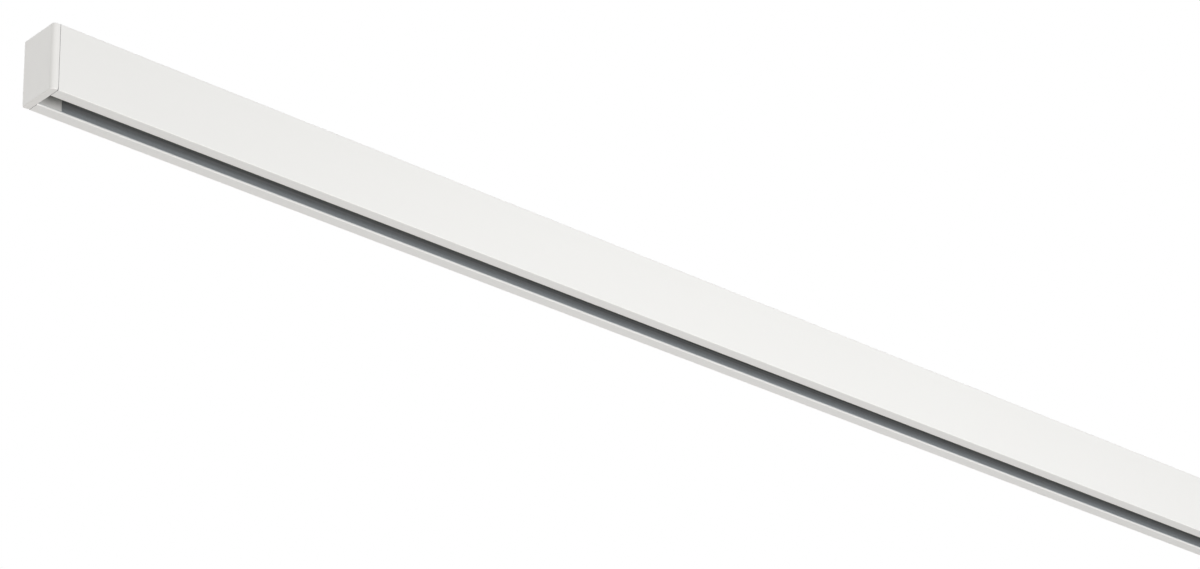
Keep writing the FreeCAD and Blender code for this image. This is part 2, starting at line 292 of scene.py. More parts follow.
class Amount:
    """A number that varies over a surface. Arithmetic on it adds Math nodes to its tree."""

    def __init__(self, tree, socket):
        self.tree, self.socket = tree, socket

    def _math(self, operation, first, second):
        made = self.tree.node("ShaderNodeMath", {"operation": operation}, {0: first, 1: second})
        return Amount(self.tree, made.outputs[0])

    def __add__(self, other):
        return self._math("ADD", self, other)

    def __sub__(self, other):
        return self._math("SUBTRACT", self, other)

    def __mul__(self, other):
        return self._math("MULTIPLY", self, other)

    def __rsub__(self, other):
        return self._math("SUBTRACT", other, self)

    __radd__ = __add__
    __rmul__ = __mul__

    def __abs__(self):
        return self._math("ABSOLUTE", self, 0.0)

    def most(self, other):
        return self._math("MAXIMUM", self, other)


class Tree:
    """A node tree being filled."""

    def __init__(self, tree):
        self.tree = tree
        self.tree.nodes.clear()

    def node(self, kind, settings=None, sockets=None):
        """One node: its settings first, then each socket's value or link."""
        made = self.tree.nodes.new(kind)
        for name, value in (settings or {}).items():
            setattr(made, name, value)
        for name, value in (sockets or {}).items():
            self.put(made.inputs[name], value)
        return made

    def put(self, socket, value):
        if isinstance(value, Amount):
            value = value.socket
        if isinstance(value, bpy.types.NodeSocket):
            self.tree.links.new(value, socket)
        else:
            socket.default_value = value

    def axes(self, vector):
        """The X, Y and Z of a vector."""
        split = self.node("ShaderNodeSeparateXYZ", {}, {0: vector})
        return [Amount(self, out) for out in split.outputs]

    def step(self, amount, low, high):
        """A smooth step from 0 where the amount is low to 1 where it is high."""
        made = self.node(
            "ShaderNodeMapRange", {"interpolation_type": "SMOOTHSTEP"},
            {"Value": amount, "From Min": low, "From Max": high},
        )
        return Amount(self, made.outputs[0])

    def mix(self, share, first, second):
        """A colour between two colours. A Mix node's sockets for colours go by their numbers."""
        made = self.node("ShaderNodeMix", {"data_type": "RGBA"}, {0: share, 6: first, 7: second})
        return made.outputs[2]

    def seen(self, *rays):
        """1 for a ray of one of these kinds, such as Is Camera Ray, and 0 for any other."""
        path = self.node("ShaderNodeLightPath")
        return reduce(Amount.most, (Amount(self, path.outputs[ray]) for ray in rays))


class Finish(Tree):
    """A procedural material and the record's slot that it stands for."""

    def __init__(self, name, slot):
        self.slot = slot
        self.material = bpy.data.materials.new(name)
        self.material.use_nodes = True
        super().__init__(self.material.node_tree)
        self.shader = self.node("ShaderNodeBsdfPrincipled")
        self.node("ShaderNodeOutputMaterial", {}, {"Surface": self.shader.outputs[0]})
        self.object_place = self.node("ShaderNodeTexCoord").outputs["Object"]

    def set(self, **sockets):
        """The shader's sockets, with spaces in their names written as underscores."""
        for name, value in sockets.items():
            self.put(self.shader.inputs[name.replace("_", " ")], value)

    def noise(self, size, stretch=(1, 1, 1), detail=2.0, offset=0.0):
        """Noise of about that grain size in metres, drawn out along each axis by the stretch."""
        scale = tuple(1 / (size * part) for part in stretch)
        moved = self.node(
            "ShaderNodeMapping", {},
            {"Vector": self.object_place, "Scale": scale, "Location": (offset,) * 3},
        )
        made = self.node(
            "ShaderNodeTexNoise", {}, {"Vector": moved.outputs[0], "Scale": 1.0, "Detail": detail}
        )
        return Amount(self, made.outputs[0])

    def bump(self, height, depth, strength):
        """A bump whose height of 1 stands that depth, in metres, above 0."""
        made = self.node(
            "ShaderNodeBump", {}, {"Height": height, "Distance": depth, "Strength": strength}
        )
        self.set(Normal=made.outputs[0])


def shade(colour, factor=1.0):
    """The colour with its red, green and blue multiplied by a factor, and an alpha of 1."""
    return (*(part * factor for part in colour[:3]), 1.0)


def powder_coat(settings):
    """White coat outside and bare metal in the channels. The runner channel's metal is painted
    darker than the clip channel's: painted shade. Towards the slot a thin overspray fades in,
    in a darker, bluer copy of the coat colour: partly real overspray, partly painted light
    that comes in through the slot. Its sawn ends are bare too."""
    finish = Finish("powder_coated_rail", "white_powder_coat")
    x, y, z = finish.axes(finish.object_place)
    coat, bare, clean = settings.coat_colour, settings.shaded_bare_colour, settings.clean_colour
    half = settings.width / 2
    # Depths in the walls and in the lips where the coat ends and the metal is bare
    side_film, lip_film = (0.0003, 0.0007), (0.0006, 0.0009)
    inside = (
        finish.step(abs(y), *(half - depth for depth in side_film))
        * finish.step(z, *(RAIL_LOW[2] + depth for depth in lip_film))
        * finish.step(z, *(RAIL_HIGH[2] - depth for depth in lip_film))
    )
    cloud = finish.noise(size=0.05, stretch=(4, 1, 1))
    coated = finish.mix(cloud, shade(coat, 0.985), shade(coat, 1.01))
    lines = finish.noise(size=0.0006, stretch=(400, 1, 1), detail=4.0)
    streaks = finish.step(lines, low=0.3, high=0.7)
    # Up in the clip channel the bare metal keeps its own colour. Lower down, in the runner
    # channel, it is painted darker: painted shade.
    unshaded_blur = 0.0004
    upper = finish.step(z, settings.clean_from, settings.clean_from + unshaded_blur)
    darker = finish.mix(upper, shade(bare, 0.8), shade(clean, 0.88))
    lighter = finish.mix(upper, shade(bare, 1.2), shade(clean, 1.12))
    drawn = finish.mix(streaks, darker, lighter)
    # The overspray towards the slot is partly real and partly painted light: its darker, bluer
    # copy of the coat colour lightens the lower channel, where light comes in through the slot.
    dust = finish.noise(size=0.0011, detail=3.0, offset=3.0)
    reach = finish.step(z, settings.coat_fade, settings.coat_start)
    least = 0.6
    overspray_and_slot_light = reach * (dust * (1 - least) + least)
    drawn = finish.mix(overspray_and_slot_light, drawn, shade(settings.overspray_light_colour))
    saw_depth = 0.00005
    sawn = finish.step(abs(x), RAIL_HIGH[0] - saw_depth, RAIL_HIGH[0])
    skin = finish.mix(inside, coated, drawn)
    finish.set(
        Base_Color=finish.mix(sawn, skin, shade(clean)),
        Metallic=inside.most(sawn) * settings.metal_share,
        Roughness=inside * 0.1 + finish.noise(size=0.01) * 0.08 + settings.coat_roughness,
    )
    peel = finish.noise(size=0.0011, detail=3.0)
    finish.bump(peel * (1 - inside) + lines * inside * 0.4, depth=0.00002, strength=0.5)
    return finish


def moulded(name, slot, colour, roughness, grain):
    """A moulded plastic: a faint flow cloud in its colour, and a fine spark-eroded texture of
    that grain size. Gives the finish and its clouded colour."""
    finish = Finish(name, slot)
    cloud = finish.noise(size=0.006, stretch=(1, 1, 2))
    clouded = finish.mix(cloud, shade(colour, 0.97), shade(colour, 1.01))
    finish.set(Base_Color=clouded, Roughness=finish.noise(size=0.002) * 0.12 + roughness)
    finish.bump(finish.noise(size=grain, detail=3.0), depth=0.00001, strength=0.4)
    return finish, clouded


def zinc_plate(settings):
    """Bright zinc over stamped steel: soft spangles, and fine rolling lines along the strip."""
    finish = Finish("zinc_plated_steel", "zinc_steel")
    lines = finish.noise(size=0.0002, stretch=(30, 1, 1), detail=3.0)
    cloud = finish.noise(size=0.004)
    spangle = finish.step(cloud, low=0.3, high=0.7)
    darker, lighter = (shade(settings.zinc_colour, factor) for factor in (0.9, 1.08))
    finish.set(
        Base_Color=finish.mix(spangle, darker, lighter),
        Metallic=1.0,
        Roughness=lines * 0.2 + cloud * 0.15 + settings.zinc_roughness,
    )
    finish.bump(lines, depth=0.000008, strength=0.5)
    return finish


# Settings that a user would change


def setting(maker=FloatProperty, **fixed):
    """A kind of setting, which is then written as its name, description and default."""

    def made(name, description, default):
        return maker(name=name, description=description, default=default, **fixed)

    return made


length = setting(min=0.0, unit="LENGTH", precision=5)
height = setting(unit="LENGTH", precision=5)
power = setting(min=0.0, unit="POWER")
share = setting(min=0.0, max=1.0, subtype="FACTOR")
colour = setting(FloatVectorProperty, size=3, min=0.0, max=1.0, subtype="COLOR")
position = setting(FloatVectorProperty, size=3, subtype="TRANSLATION", unit="LENGTH")
rotation = setting(FloatVectorProperty, size=3, subtype="EULER")
focal_length = setting(unit="CAMERA")
steps_round = setting(IntProperty, min=6)


class RailSettings(bpy.types.PropertyGroup):
    """Sizes and colours of the extruded rail."""

    width: length("Width", "Width over the two side walls", RAIL_HIGH[1] - RAIL_LOW[1])
    wall: length("Wall", "Thickness of the side walls and webs", 0.0012)
    lip: length("Lip", "Thickness of the lips under the runners", 0.001)
    slot_width: length("Slot width", "Width of the runner slot", 0.008)
    channel_height: length("Channel height", "Inside height of the runner channel", 0.0116)
    hollow_height: length("Hollow height", "Inside height of the closed middle", 0.005)
    mouth_width: length("Mouth width", "Width of the clip channel's mouth", 0.0096)
    edge_radius: length("Edge radius", "Rounding of the four long outer edges", 0.0003)
    lip_radius: length("Lip radius", "Rounding of the slot's and the mouth's edges", 0.00025)
    inner_radius: length("Inner radius", "Rounding in the channels' corners", 0.0003)
    bead_height: length("Bead height", "Height of the beads that the wheels run on", 0.0003)
    bead_from_slot: length("Bead place", "From the slot's edge to the bead's middle", 0.0019)
    # These two heights also bound the painted light in the runner channel and the painted shade
    # on the caps' plugs.
    coat_start: height("Coat start", "Below this height the coat's overspray is full", -0.0282)
    coat_fade: height("Coat fade", "Above this height the channel is bare", -0.0205)
    coat_colour: colour("Coat", "Colour of the powder coat", (0.85, 0.85, 0.837))
    coat_roughness: share("Coat roughness", "Least roughness of the powder coat", 0.34)
    # Partly overspray and partly painted light: a darker, bluer copy of the coat that lightens
    # the channel towards the slot.
    overspray_light_colour: colour("Overspray", "Colour of the thin coat in the slot", (0.59, 0.65, 0.70))
    # Below this height the runner channel's metal is painted darker: painted shade.
    clean_from: height("Clean from", "Above this height the bare metal is clean", -0.0115)
    shaded_bare_colour: colour("Bare metal", "Colour in the runner channel", (0.26, 0.26, 0.26))
    clean_colour: colour("Clean metal", "Colour in the clip channel", (0.46, 0.46, 0.47))
    metal_share: share("Metal share", "How metallic the bare metal looks", 0.35)


class CapSettings(bpy.types.PropertyGroup):
    """Sizes and colours of the two end caps."""

    plate: length("Plate", "Thickness of the plate over the rail's end", 0.003)
    room_radius: length("Room edge", "Rounding of the room side's upright edge", 0.002)
    window_radius: length("Window edge", "Rounding of the window side's upright edge", 0.0004)
    top_radius: length("Top radius", "Rounding of the plate's level outer edges", 0.0005)
    seam_radius: length("Seam radius", "Rounding where the plate meets the rail", 0.0003)
    relief: length("Relief", "How much rounder the lower corners are at the rail", 0.0013)
    clearance: length("Clearance", "Between the plug and the rail's walls", 0.0001)
    plug_wall: length("Plug wall", "Thickness of the plug's walls", 0.0015)
    cheek_length: length("Cheek length", "How far the plug reaches into the channel", 0.012)
    cheek_gap: length("Cheek gap", "Between the cheeks and the lips", 0.0006)
    tongue_length: length("Tongue length", "How far the tongue reaches into the hollow", 0.010)
    upper_length: length("Upper length", "How far the upper block reaches in", 0.008)
    upper_height: length("Upper height", "Height of the upper block", 0.0024)
    cap_colour: colour("Plastic", "Colour of the caps", (0.85, 0.845, 0.83))
    # Painted shade: the grey that the plug takes from the slot upwards.
    plug_shade_colour: colour("Plug", "Colour of the plugs deep inside the rail", (0.42, 0.42, 0.40))
    roughness: share("Roughness", "Least roughness of the caps", 0.3)


class ClipSettings(bpy.types.PropertyGroup):
    """Sizes and colours of the ceiling clips."""

    sheet: length("Sheet", "Thickness of the stamped steel", 0.0012)
    plate_corner: length("Plate corner", "Rounding of the plate's corners", 0.002)
    screw_radius: length("Screw hole", "Radius of the screw hole", 0.00225)
    screw_to_pivot: length("Screw to rivet", "From the screw hole to the lever's rivet", 0.015)
    pivot_offset: length("Rivet offset", "The rivet's place across the rail", 0.0008)
    claw_length: length("Claw length", "Length of each claw along the rail", 0.005)
    cam_radius: length("Cam radius", "Radius of the lever's hub and cam", 0.0032)
    cam_reach: length("Cam reach", "From the rivet to the cam's tip", 0.0064)
    cam_thickness: length("Cam thickness", "Thickness of the cam", 0.0015)
    arm_width: length("Arm width", "Width of the lever's arm", 0.005)
    arm_thickness: length("Arm thickness", "Thickness of the lever's arm", 0.0011)
    tab_width: length("Tab width", "Width of the thumb tab at the arm's tip", 0.004)
    ridge: length("Ridge", "Half-width and height of the tab's ridges", 0.0003)
    rivet_radius: length("Rivet radius", "Radius of the rivet's shank", 0.0015)
    rivet_head: length("Rivet head", "Height of the rivet's head", 0.0009)
    flush_radius: length("Flush radius", "Radius of the rivet's flush head", 0.0024)
    flush_depth: length("Flush depth", "Depth of the rivet's flush head", 0.0008)
    zinc_colour: colour("Zinc", "Colour of the zinc plate", (0.60, 0.61, 0.63))
    zinc_roughness: share("Zinc roughness", "Least roughness of the zinc plate", 0.2)


class RunnerSettings(bpy.types.PropertyGroup):
    """Sizes and colours of the runners and their eyes."""

    corner: length("Corner", "Rounding of the carriage's upright edges", 0.0015)
    bore: length("Bore", "Radius of the hole for the eye's stem", 0.00118)
    pocket: length("Pocket", "Radius of the pocket for the stem's head", 0.0021)
    seat_depth: length("Seat depth", "Depth of the pocket", 0.0052)
    neck: length("Neck", "Radius of the neck, and half the block's width", 0.0032)
    collar: length("Collar", "Height of the neck's end under the flange", 0.0011)
    flange: length("Flange", "Thickness of the flange under the lips", 0.001)
    flange_radius: length("Flange radius", "Radius of the flange", 0.0048)
    block_gap: length("Block gap", "From the flange to the block", 0.0019)
    boss: length("Boss", "Radius of the bosses beside the wheels", 0.0025)
    side_gap: length("Side gap", "Between a boss and its wheel", 0.00015)
    stub: length("Stub axle", "Radius of the stub axles", 0.0015)
    stub_head: length("Stub head", "Height of the stub axles' snap heads", 0.0006)
    wheel_width: length("Wheel width", "Width of each wheel", 0.003)
    groove_outer: length("Groove outside", "Outer radius of the wheel's groove", 0.0037)
    groove_inner: length("Groove inside", "Inner radius of the wheel's groove", 0.0027)
    groove_depth: length("Groove depth", "Depth of the wheel's groove", 0.0005)
    recess: length("Recess", "Radius of the recess for the snap head", 0.0021)
    recess_depth: length("Recess depth", "Depth of the recess for the snap head", 0.0009)
    wire: length("Wire", "Radius of the eye's round section", 0.001)
    stem: length("Stem", "Radius of the eye's stem", 0.0011)
    head_radius: length("Head radius", "Radius of the stem's snap head", 0.0018)
    head_height: length("Head height", "Height of the stem's snap head", 0.0016)
    split: length("Split", "Width of the split in the snap head", 0.0006)
    collar_radius: length("Eye collar", "Radius of the collar over the eye", 0.0026)
    collar_height: length("Collar height", "Height of the collar over the eye", 0.0009)
    collar_bite: length("Collar bite", "How deep the ring is sunk in the collar", 0.00025)
    collar_top: height("Collar top", "Where the eye's collar ends above", -0.03215)
    ring_steps: steps_round("Ring steps", "Steps round each quarter of the eye", 8)
    runner_colour: colour("Plastic", "Colour of the carriages and eyes", (0.82, 0.82, 0.79))
    runner_roughness: share("Roughness", "Least roughness of the carriages and eyes", 0.28)
    wheel_colour: colour("Wheel", "Colour of the wheels", (0.70, 0.70, 0.66))
    wheel_roughness: share("Wheel roughness", "Least roughness of the wheels", 0.4)


class StageSettings(bpy.types.PropertyGroup):
    """The camera, the lamps and the floor."""

    camera_place: position(
        "Camera place", "Where the camera stands", (-1.391348, -1.029248, -0.747545)
    )
    camera_turn: rotation(
        "Camera turn", "How the camera is turned", (2.051049, 0.029826, -0.732327)
    )
    lens: focal_length("Lens", "Focal length in millimetres", 121.094)
    floor_drop: length("Floor drop", "From the ceiling plane down to the floor", 1.6)
    floor_size: length("Floor size", "Length of the floor's sides", 60.0)
    floor_colour: colour("Floor", "Colour of the floor", (0.82, 0.80, 0.78))
    floor_glow: share("Floor glow", "Light on the floor that only the camera sees", 0.6)
    world_level: share("World level", "Strength of the light from all round", 0.36)
    key_power: power("Key power", "Power of the lamp in front, on the left", 4.98)
    fill_power: power("Fill power", "Power of the nearer lamp in front, on the right", 1.35)
    side_power: power("Side power", "Power of the lamp on the left", 15.8)
    back_power: power("Back power", "Power of the lamp behind and above", 20.0)
    rear_power: power("Rear power", "Power of each lamp level with the back", 1.15)
    end_power: power("End power", "Power of the lamp level with the right-hand end", 1.4)


# Pieces


def rail_outlines(settings):
    """The rail's section: an outer outline with both channels, and the closed hollow."""
    bottom, top = RAIL_LOW[2], RAIL_HIGH[2]
    half, inside = settings.width / 2, settings.width / 2 - settings.wall
    slot, mouth = settings.slot_width / 2, settings.mouth_width / 2
    floor = bottom + settings.lip
    roof = floor + settings.channel_height
    low = roof + settings.wall
    high = low + settings.hollow_height
    upper = high + settings.wall
    lip_under = top - settings.wall
    edge, lip, inner = settings.edge_radius, settings.lip_radius, settings.inner_radius
    bead = slot + settings.bead_from_slot
    # A bead's height, and half the width of its foot
    rise, foot = settings.bead_height, settings.bead_height * 1.4
    right = [
        (slot, bottom, lip), (half, bottom, edge), (half, top, edge), (mouth, top, lip),
        (mouth, lip_under, lip), (inside, lip_under, inner), (inside, upper, inner),
    ]
    channel = [
        (inside, roof, inner), (inside, floor, inner), (bead + foot, floor, rise / 2),
        (bead + foot / 2, floor + rise, rise / 3), (bead - foot / 2, floor + rise, rise / 3),
        (bead - foot, floor, rise / 2), (slot, floor, lip),
    ]
    left = [(-u, v, radius) for u, v, radius in reversed(channel + right)]
    outer = rounded(right + left + channel)
    hollow = hole(rectangle(-inside, inside, low, high, inner))
    return [outer, hollow]


def build_rail(settings):
    """The section, carried straight from one end of the rail to the other."""
    stations = np.array([[RAIL_LOW[0], 0, 0], [RAIL_HIGH[0], 0, 0]])
    shell = Shell().extruded(rail_outlines(settings), stations, ACROSS_RAIL)
    shell.piece("rail", powder_coat(settings), "track", ["track_profile"])


def cap_plate(settings, rail):
    """The cap's plate: rounded rectangles across the rail, one behind the other. At a depth t
    from the outer face, each side stands in by its radius less the root of radius squared less
    (radius less t) squared, and the same at the seam with the seam's radius. The lower corners
    grow rounder in the same way towards the seam, which leaves a small pit there."""
    turn = np.linspace(0, QUARTER_TURN, 9)
    room, window = settings.room_radius, settings.window_radius
    top, seam, relief = settings.top_radius, settings.seam_radius, settings.relief
    starts = [radius * (1 - np.cos(turn)) for radius in (room, window, top)]
    ends = [settings.plate - radius * (1 - np.cos(turn[::2])) for radius in (seam, relief)]
    # Rounding merges depths that differ only in their last digits
    depth = np.unique(np.concatenate([*starts, *ends]).round(8))

    def inset(radius, gone):
        gone = np.clip(gone, 0, radius)
        return radius - np.sqrt(radius**2 - (radius - gone) ** 2)

    left = settings.plate - depth
    behind, corner = inset(seam, left), rail.edge_radius
    u0 = RAIL_LOW[1] + inset(room, depth) + behind
    u1 = RAIL_HIGH[1] - inset(window, depth) - behind
    v0 = RAIL_LOW[2] + inset(top, depth) + behind
    v1 = RAIL_HIGH[2] - inset(top, depth) - behind
    x = RAIL_LOW[0] - settings.plate + depth
    rings = [
        rounded([(a, c, low), (b, c, low), (b, d, corner), (a, d, corner)])[0]
        for a, b, c, d, low in zip(u0, u1, v0, v1, corner + inset(relief, left))
    ]
    flat = np.stack(rings, axis=1)
    level = np.broadcast_to(x[None, :, None], flat.shape[:2] + (1,))
    points = np.concatenate([level, flat], axis=2)
    along = np.gradient(points, axis=1)
    round_about = np.roll(points, -1, axis=0) - np.roll(points, 1, axis=0)
    normals = np.cross(round_about, along)
    normals /= np.linalg.norm(normals, axis=2, keepdims=True)
    normals[:, 0], normals[:, -1] = (-1, 0, 0), (1, 0, 0)
    shell = Shell()
    number = shell.grid(points, normals, wrap_columns=False)
    return shell.lids([flat], [number], ACROSS_RAIL.axes[2])


def cap_plug(settings, rail):
    """The plug behind the left-hand plate: an inverted U, a hollow tongue and an upper block."""
    start = RAIL_LOW[0] - settings.plate / 2
    side = rail.width / 2 - rail.wall - settings.clearance
    wall = settings.plug_wall
    floor = RAIL_LOW[2] + rail.lip
    roof = floor + rail.channel_height - settings.clearance
    foot = floor + settings.cheek_gap
    edge = 0.00025
    u_shape = rounded([
        (-side, foot, edge), (-side + wall, foot, edge), (-side + wall, roof - wall, edge),
        (side - wall, roof - wall, edge), (side - wall, foot, edge), (side, foot, edge),
        (side, roof, edge), (-side, roof, edge),
    ])
    low = floor + rail.channel_height + rail.wall + settings.clearance
    high = low + rail.hollow_height - 2 * settings.clearance
    tongue = [
        rectangle(-side, side, low, high, edge),
        hole(rectangle(wall - side, side - wall, low + wall, high - wall, edge)),
    ]
    shelf = high + settings.clearance + rail.wall + settings.clearance
    upper = rectangle(-side, side, shelf, shelf + settings.upper_height, edge)
    shell = Shell()
    for outlines, reach in (
        ([u_shape], settings.cheek_length),
        (tongue, settings.tongue_length),
        ([upper], settings.upper_length),
    ):
        stations = edged(start, RAIL_LOW[0] + reach, edge / 2, edge)
        shell.extruded(outlines, stations, ACROSS_RAIL)
    return shell


def cap_plastic(settings, rail):
    """The caps' plastic, which greys on the plug from the slot upwards: painted shade deep in the
    channel.
    """
    finish, clouded = moulded(
        "cap_plastic", "white_cap_plastic", settings.cap_colour, settings.roughness, grain=0.0003
    )
    x, _, z = finish.axes(finish.object_place)
    blur = 0.0002
    plug = finish.step(abs(x), RAIL_HIGH[0] + blur, RAIL_HIGH[0] - blur)
    # The plug is painted grey from the slot upwards: painted shade, not a colour of the plastic.
    deep = plug * finish.step(z, rail.coat_start, rail.coat_fade)
    finish.set(Base_Color=finish.mix(deep, clouded, shade(settings.plug_shade_colour)))
    return finish


def build_end_caps(settings, rail):
    """The left cap, and its mirror image as the right one."""
    finish = cap_plastic(settings, rail)
    left = cap_plate(settings, rail).add(cap_plug(settings, rail))
    left.piece("cap_left", finish, "track", ["end_cap_left"])
    right = Shell().add(left, mirror=(-1, 1, 1))
    right.piece("cap_right", finish, "track", ["end_cap_right"])


def clip_plate(low, high, settings):
    """The stamped plate, drawn about its screw hole, with two bent claws under it."""
    sheet, half = settings.sheet, high[1]
    edge, bend = 0.0002, 0.0012
    pivot = (settings.screw_to_pivot, settings.pivot_offset)
    holes = [
        hole(circle(settings.screw_radius)),
        hole(circle(settings.rivet_radius + FIT, pivot)),
    ]
    outline = rectangle(low[0], high[0], -half, half, settings.plate_corner)
    shell = Shell().extruded([outline, *holes], edged(-sheet, 0, edge, edge / 2), FROM_ABOVE)
    foot, tip, inner = low[2], low[1], sheet - half
    claw = rounded([
        (tip, foot, edge), (inner, foot, bend), (inner, -sheet / 2, edge),
        (-half, -sheet / 2, edge), (-half, foot + sheet, edge), (tip, foot + sheet, edge),
    ])
    corner, reach = settings.plate_corner, settings.claw_length
    for start in (low[0] + corner, high[0] - corner - reach):
        shell.extruded([claw], edged(start, start + reach, edge, edge), ACROSS_RAIL)
    return shell


def clip_lever(low, high, settings):
    """The lever, drawn about its pivot: a hub, a cam below the lip and an arm above the rail."""
    radius, edge = settings.cam_radius, 0.0002
    bore = settings.rivet_radius + 5 * FIT
    arm_low = high[2] - settings.arm_thickness
    shell = Shell().turned(
        [(bore, low[2], edge), (radius, low[2], edge), (radius, high[2], edge),
         (bore, high[2], edge)],
        FROM_ABOVE, ring=True,
    )
    # A little less than the half-width, so that the nose's two arcs don't meet
    nose_radius = radius * 0.98
    nose = rounded([
        (-radius, bore + edge, edge), (radius, bore + edge, edge),
        (radius, settings.cam_reach, nose_radius), (-radius, settings.cam_reach, nose_radius),
    ], steps=10)
    cam = edged(low[2], low[2] + settings.cam_thickness, edge, edge)
    shell.extruded([nose], cam, FROM_ABOVE)
    half, tip, top = settings.arm_width / 2, high[0], high[1]
    bend, root, neck = half / 2, bore + edge, high[0] - settings.tab_width
    arm = rounded([
        (root, -half, edge), (tip, -half, bend), (tip, top, bend), (neck, top, bend),
        (neck, half, bend), (root, half, edge),
    ])
    shell.extruded([arm], edged(arm_low, high[2], edge, edge), FROM_ABOVE)
    ridge = settings.ridge
    start, stop = half + 6 * ridge, top - 3 * ridge
    rise = edged(arm_low + edge, high[2] + ridge, edge, ridge / 2)
    for place in np.linspace(neck + 3 * ridge, tip - 3 * ridge, 3):
        bar = rectangle(place - ridge, place + ridge, start, stop, ridge * 0.9)
        shell.extruded([bar], rise, FROM_ABOVE)
    return shell


def clip_rivet(low, high, settings):
    """The rivet: a domed head under the cam and a head flush with the plate's top."""
    shank, head = settings.rivet_radius, high[0]
    under = low[2] + settings.rivet_head
    dome = settings.rivet_head * 0.7
    return Shell().turned(
        [(head, low[2], dome), (head, under, 10 * FIT), (shank, under, FIT),
         (shank, -settings.flush_depth, FIT), (settings.flush_radius, high[2], FIT)],
        FROM_ABOVE,
    )


def from_pivot(node, pivot):
    """A node's box, counted from a point of the ceiling plane."""
    return [np.array(corner) - (*pivot, 0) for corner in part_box(node)]


def build_clips(settings):
    """Each clip's plate, about its screw hole, and its rivet and lever, about their pivot."""
    finish = zinc_plate(settings)
    for clip in CLIPS:
        x, y, _ = JOINTS[clip + "_lever_turn"]["pos_m"]
        screw, pivot = (x - settings.screw_to_pivot, 0), (x, y)
        for shape, name, part, centre, body in (
            (clip_plate, "_bracket", "_plate", screw, "track"),
            (clip_rivet, "_pin", "_rivet", pivot, "track"),
            (clip_lever, "_handle", "_lever", pivot, clip + "_lever"),
        ):
            shell = shape(*from_pivot(clip + part, centre), settings)
            Shell().add(shell, (*centre, 0)).piece(clip + name, finish, body, [clip + part])


def carriage(low, high, axle, wheel_inner, settings):
    """A runner's moulding, drawn about its middle: a block with bosses and snap-headed stub axles
    on both sides, and a neck with a flange under it."""
    edge, fine, half = 0.0003, 0.0001, settings.neck
    bottom = low[2] + settings.collar + settings.flange + settings.block_gap
    seat = high[2] - settings.seat_depth
    block = rectangle(low[0], high[0], -half, half, settings.corner)
    shell = Shell().extruded(
        [block, hole(circle(settings.pocket))], edged(bottom, high[2], edge, edge), FROM_ABOVE
    )
    under = low[2] + settings.collar
    over = under + settings.flange
    rim = settings.flange_radius
    shell.turned(
        [(settings.bore, low[2], fine), (half, low[2], edge), (half, under, fine),
         (rim, under, edge), (rim, over, edge), (half, over, fine), (half, seat, fine),
         (settings.bore, seat, fine)],
        FROM_ABOVE, ring=True,
    )
    boss_end = wheel_inner - settings.side_gap
    stub, head = settings.stub, settings.stub_head
    root = settings.pocket + edge
    side = Shell().turned(
        [(settings.boss, root, fine), (settings.boss, boss_end, edge),
         (stub, boss_end, fine), (stub, high[1] - head, FIT),
         (stub + edge, high[1] - head, FIT), (stub, high[1], fine)],
        ALONG_AXLE.at(0, 0, axle), steps=28,
    )
    return shell.add(side).add(side, mirror=(1, -1, 1))


def wheel_pair(high, axle, settings):
    """Two wheels, drawn about the runner's middle and reaching to a highest corner: each is a
    bored disc with a round groove and a recess for the stub axle's head."""
    radius, outer = high[0], high[1]
    inner = outer - settings.wheel_width
    edge, fine = 0.0004, 0.00012
    bore, recess = settings.stub + 5 * FIT, settings.recess
    shelf, groove = outer - settings.recess_depth, outer - settings.groove_depth
    one = Shell().turned(
        [(bore, inner, fine), (radius, inner, edge), (radius, outer, edge),
         (settings.groove_outer, outer, fine), (settings.groove_outer, groove, fine),
         (settings.groove_inner, groove, fine), (settings.groove_inner, outer, fine),
         (recess, outer, fine), (recess, shelf, fine / 2), (bore, shelf, fine / 2)],
        ALONG_AXLE.at(0, 0, axle), ring=True, steps=40,
    )
    return Shell().add(one).add(one, mirror=(1, -1, 1))


def swivel_eye(low, high, settings):
    """The hook's eye: a round-wire ring under a collar, on a stem with a split snap head."""
    wire, stem, edge = settings.wire, settings.stem, 0.0002
    middle = high[0] - wire
    ring_top = settings.collar_top - settings.collar_height + settings.collar_bite
    # A little less than the half-width, so that the arcs at each end don't meet
    bend = middle * 0.998
    start, stop = low[2] + wire, ring_top - wire
    path = rectangle(start, stop, -middle, middle, bend, settings.ring_steps)
    shell = Shell().wire(path, wire, ALONG_AXLE)
    top, collar = high[2], settings.collar_top
    head_bottom = top - settings.head_height
    split_bottom = head_bottom - settings.head_height
    shell.turned(
        [(settings.collar_radius, collar - settings.collar_height, edge * 1.5),
         (settings.collar_radius, collar, edge), (stem, collar, edge / 2),
         (stem, split_bottom, edge / 4)],
        FROM_ABOVE,
    )
    half_split = settings.split / 2
    for radius, base, end, dome in (
        (stem, split_bottom - edge, head_bottom + edge, edge / 2),
        (settings.head_radius, head_bottom, top, edge * 2),
    ):
        half = cut_disc(radius, half_split)
        jaw = Shell().extruded([half], edged(base, end, edge / 4, dome), FROM_ABOVE)
        shell.add(jaw).add(jaw, mirror=(-1, 1, 1))
    return shell


